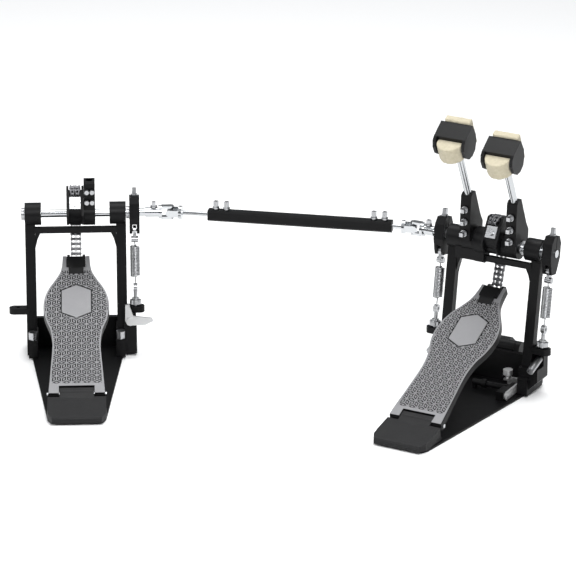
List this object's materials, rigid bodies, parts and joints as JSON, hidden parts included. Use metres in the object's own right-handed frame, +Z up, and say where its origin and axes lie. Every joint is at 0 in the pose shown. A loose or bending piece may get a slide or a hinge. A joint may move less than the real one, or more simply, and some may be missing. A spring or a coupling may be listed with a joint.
{
  "type": "bass drum pedal",
  "caption": "Double bass drum pedal: a main chain drive pedal with two felt beaters, a side pedal, and a telescoping driveshaft with universal joints between them.",
  "frame": {"origin": "on the floor straight below the middle of the main pedal's axle", "axes": "+X along the main axle to the player's right, +Y from the player towards the drum, +Z up"},
  "size_m": [0.6761, 0.4591, 0.3575],
  "materials": {
    "black_casting": "satin black powder coat",
    "chrome": "polished",
    "steel": "satin",
    "board_grey": "silver grey print over dark lacquer",
    "black_plastic": "moulded",
    "felt": "pressed wool felt"
  },
  "bodies": {
    "frame": {"main_frame": "black_casting", "main_base_plate": "black_casting", "main_bearings": "chrome", "main_spring_studs": "chrome", "main_heel_plate": "black_casting", "main_heel_pin": "chrome", "main_spur_bolts": "chrome"},
    "drive": {"main_drive_axle": "steel", "main_cam": "black_casting", "main_right_hub": "black_casting", "main_right_rocker": "black_casting", "main_right_bolts": "chrome", "main_chain_on_cam": "steel"},
    "left_drive": {"main_left_axle": "steel", "main_left_hub": "black_casting", "main_left_rocker": "black_casting", "main_left_bolts": "chrome", "main_yoke": "chrome"},
    "side_frame": {"side_frame": "black_casting", "side_base_plate": "black_casting", "side_bearings": "chrome", "side_studs_and_spurs": "chrome", "side_heel_plate": "black_casting", "side_heel_pin": "chrome"},
    "side_drive": {"side_axle": "steel", "side_cam": "black_casting", "side_beater_holder": "black_casting", "side_rocker": "black_casting", "side_bolts": "chrome", "side_chain_on_cam": "steel", "side_yoke": "chrome"},
    "shaft_rod": {"main_shaft_end": "chrome"},
    "driveshaft": {"driveshaft_tube": "black_casting", "side_shaft_end": "chrome", "driveshaft_bolts": "chrome"},
    "main_board": {"main_footboard": "board_grey", "main_toe_clip": "black_casting"},
    "main_link_1": {"main_chain_link_1": "steel"},
    "main_link_2": {"main_chain_link_2": "steel"},
    "main_run": {"main_chain_run": "steel"},
    "side_board": {"side_footboard": "board_grey", "side_toe_clip": "black_casting"},
    "side_link_1": {"side_chain_link_1": "steel"},
    "side_link_2": {"side_chain_link_2": "steel"},
    "side_run": {"side_chain_run": "steel"},
    "main_right_spring_body": {"main_right_spring": "chrome"},
    "main_right_stirrup_body": {"main_right_stirrup": "chrome"},
    "main_left_spring_body": {"main_left_spring": "chrome"},
    "main_left_stirrup_body": {"main_left_stirrup": "chrome"},
    "side_spring_body": {"side_spring": "chrome"},
    "side_stirrup_body": {"side_stirrup": "chrome"},
    "left_rod": {"main_left_rod": "chrome"},
    "left_beater": {"main_left_beater_shell": "black_plastic", "main_left_beater_felt": "felt"},
    "right_rod": {"main_right_rod": "chrome"},
    "right_beater": {"main_right_beater_shell": "black_plastic", "main_right_beater_felt": "felt"},
    "clamp_lever": {"main_clamp_lever": "chrome"},
    "hoop_claw": {"main_hoop_claw": "black_casting"},
    "side_lever": {"side_clamp_lever": "chrome"}
  },
  "joints": [
    {"name": "pedal_swing", "type": "hinge", "parent": "frame", "child": "drive", "pos_m": [0, 0, 0.185], "axis": [-1, 0, 0], "range_deg": [-4, 42], "stiffness_Nm_per_rad": 6},
    {"name": "side_pedal_reach", "type": "slide", "parent": "frame", "child": "side_frame", "axis": [-0.9489, -0.3156, 0], "range_m": [-0.01, 0.06]},
    {"name": "side_pedal_swing", "type": "hinge", "parent": "side_frame", "child": "side_drive", "pos_m": [-0.5236, -0.1654, 0.185], "axis": [-0.848, -0.5299, 0], "range_deg": [-4, 42], "stiffness_Nm_per_rad": 6},
    {"name": "left_beater_swing", "type": "hinge", "parent": "frame", "child": "left_drive", "pos_m": [-0.06, 0, 0.185], "axis": [-1, 0, 0], "range_deg": [-4.5, 42.5]},
    {"name": "shaft_rod_turn", "type": "hinge", "parent": "frame", "child": "shaft_rod", "pos_m": [-0.1177, 0, 0.185], "axis": [-0.9489, -0.3156, 0], "range_deg": [-4.5, 42.5]},
    {"name": "driveshaft_turn", "type": "hinge", "parent": "side_frame", "child": "driveshaft", "pos_m": [-0.41954, -0.10038, 0.185], "axis": [-0.9489, -0.3156, 0], "range_deg": [-4.5, 42.5]},
    {"name": "main_footboard_hinge", "type": "hinge", "parent": "frame", "child": "main_board", "pos_m": [0, -0.212, 0.0193], "axis": [-1, 0, 0], "range_deg": [-0.7, 5.7]},
    {"name": "main_chain_hinge_1", "type": "hinge", "parent": "drive", "child": "main_link_1", "pos_m": [0, 0.02283, 0.20139], "axis": [-1, 0, 0], "range_deg": [-24.2, 2.6]},
    {"name": "main_chain_hinge_2", "type": "hinge", "parent": "main_link_1", "child": "main_link_2", "pos_m": [0, 0.02349, 0.19507], "axis": [-1, 0, 0], "range_deg": [-15.8, 1.7]},
    {"name": "main_chain_hinge_3", "type": "hinge", "parent": "main_link_2", "child": "main_run", "pos_m": [0, 0.02244, 0.18881], "axis": [-1, 0, 0], "range_deg": [-8, 0.9]},
    {"name": "side_footboard_hinge", "type": "hinge", "parent": "side_frame", "child": "side_board", "pos_m": [-0.41126, -0.34519, 0.0193], "axis": [-0.848, -0.5299, 0], "range_deg": [-0.7, 5.7]},
    {"name": "side_chain_hinge_1", "type": "hinge", "parent": "side_drive", "child": "side_link_1", "pos_m": [-0.5357, -0.14604, 0.20139], "axis": [-0.848, -0.5299, 0], "range_deg": [-24.2, 2.6]},
    {"name": "side_chain_hinge_2", "type": "hinge", "parent": "side_link_1", "child": "side_link_2", "pos_m": [-0.53605, -0.14548, 0.19507], "axis": [-0.848, -0.5299, 0], "range_deg": [-15.8, 1.7]},
    {"name": "side_chain_hinge_3", "type": "hinge", "parent": "side_link_2", "child": "side_run", "pos_m": [-0.53549, -0.14637, 0.18881], "axis": [-0.848, -0.5299, 0], "range_deg": [-8, 0.9]},
    {"name": "main_right_spring_sway", "type": "hinge", "parent": "frame", "child": "main_right_spring_body", "pos_m": [0.076, -0.01571, 0.088], "axis": [-1, 0, 0], "range_deg": [-11, 1.2]},
    {"name": "main_right_spring_stretch", "type": "slide", "parent": "main_right_spring_body", "child": "main_right_stirrup_body", "axis": [0, 0.1599, 0.9871], "range_m": [-0.0008, 0.0076], "deforming": ["main_right_spring"]},
    {"name": "main_left_spring_sway", "type": "hinge", "parent": "frame", "child": "main_left_spring_body", "pos_m": [-0.076, -0.01571, 0.088], "axis": [-1, 0, 0], "range_deg": [-11, 1.2]},
    {"name": "main_left_spring_stretch", "type": "slide", "parent": "main_left_spring_body", "child": "main_left_stirrup_body", "axis": [0, 0.1599, 0.9871], "range_m": [-0.0008, 0.0076], "deforming": ["main_left_spring"]},
    {"name": "side_spring_sway", "type": "hinge", "parent": "side_frame", "child": "side_spring_body", "pos_m": [-0.45082, -0.13845, 0.088], "axis": [-0.848, -0.5299, 0], "range_deg": [-11, 1.2]},
    {"name": "side_spring_stretch", "type": "slide", "parent": "side_spring_body", "child": "side_stirrup_body", "axis": [-0.0847, 0.1356, 0.9871], "range_m": [-0.0008, 0.0076], "deforming": ["side_spring"]},
    {"name": "left_beater_height", "type": "slide", "parent": "left_drive", "child": "left_rod", "axis": [0, -0.4226, 0.9063], "range_m": [-0.03, 0.03]},
    {"name": "left_beater_turn", "type": "hinge", "parent": "left_rod", "child": "left_beater", "pos_m": [-0.036, -0.04883, 0.32994], "axis": [0, -0.4226, 0.9063], "range_deg": [-180, 180]},
    {"name": "right_beater_height", "type": "slide", "parent": "drive", "child": "right_rod", "axis": [0, -0.4226, 0.9063], "range_m": [-0.03, 0.03]},
    {"name": "right_beater_turn", "type": "hinge", "parent": "right_rod", "child": "right_beater", "pos_m": [0.0282, -0.04376, 0.31907], "axis": [0, -0.4226, 0.9063], "range_deg": [-180, 180]},
    {"name": "clamp_lever_turn", "type": "hinge", "parent": "frame", "child": "clamp_lever", "pos_m": [0.042, -0.062, 0.0085], "axis": [1, 0, 0], "range_deg": [0, 75]},
    {"name": "hoop_claw_turn", "type": "hinge", "parent": "frame", "child": "hoop_claw", "pos_m": [0, 0.011, 0.044], "axis": [1, 0, 0], "range_deg": [0, 18.2]},
    {"name": "side_lever_turn", "type": "hinge", "parent": "side_frame", "child": "side_lever", "pos_m": [-0.44601, -0.15937, 0.049], "axis": [-0.5299, 0.848, 0], "range_deg": [-15, 40]}
  ],
  "couplings": [
    {"joint": "left_beater_swing", "follows": "side_pedal_swing", "ratio": 1},
    {"joint": "shaft_rod_turn", "follows": "side_pedal_swing", "ratio": 1},
    {"joint": "driveshaft_turn", "follows": "side_pedal_swing", "ratio": 1},
    {"joint": "main_footboard_hinge", "follows": "pedal_swing", "ratio": 0.13069},
    {"joint": "main_chain_hinge_1", "follows": "pedal_swing", "ratio": -0.56741},
    {"joint": "main_chain_hinge_2", "follows": "pedal_swing", "ratio": -0.36975},
    {"joint": "main_chain_hinge_3", "follows": "pedal_swing", "ratio": -0.18488},
    {"joint": "side_footboard_hinge", "follows": "side_pedal_swing", "ratio": 0.13069},
    {"joint": "side_chain_hinge_1", "follows": "side_pedal_swing", "ratio": -0.56741},
    {"joint": "side_chain_hinge_2", "follows": "side_pedal_swing", "ratio": -0.36975},
    {"joint": "side_chain_hinge_3", "follows": "side_pedal_swing", "ratio": -0.18488},
    {"joint": "main_right_spring_sway", "follows": "pedal_swing", "ratio": -0.255},
    {"joint": "main_right_spring_stretch", "follows": "pedal_swing", "m_per_rad": 0.0101},
    {"joint": "main_left_spring_sway", "follows": "side_pedal_swing", "ratio": -0.255},
    {"joint": "main_left_spring_stretch", "follows": "side_pedal_swing", "m_per_rad": 0.0101},
    {"joint": "side_spring_sway", "follows": "side_pedal_swing", "ratio": -0.255},
    {"joint": "side_spring_stretch", "follows": "side_pedal_swing", "m_per_rad": 0.0101},
    {"joint": "hoop_claw_turn", "follows": "clamp_lever_turn", "ratio": 0.24}
  ]
}
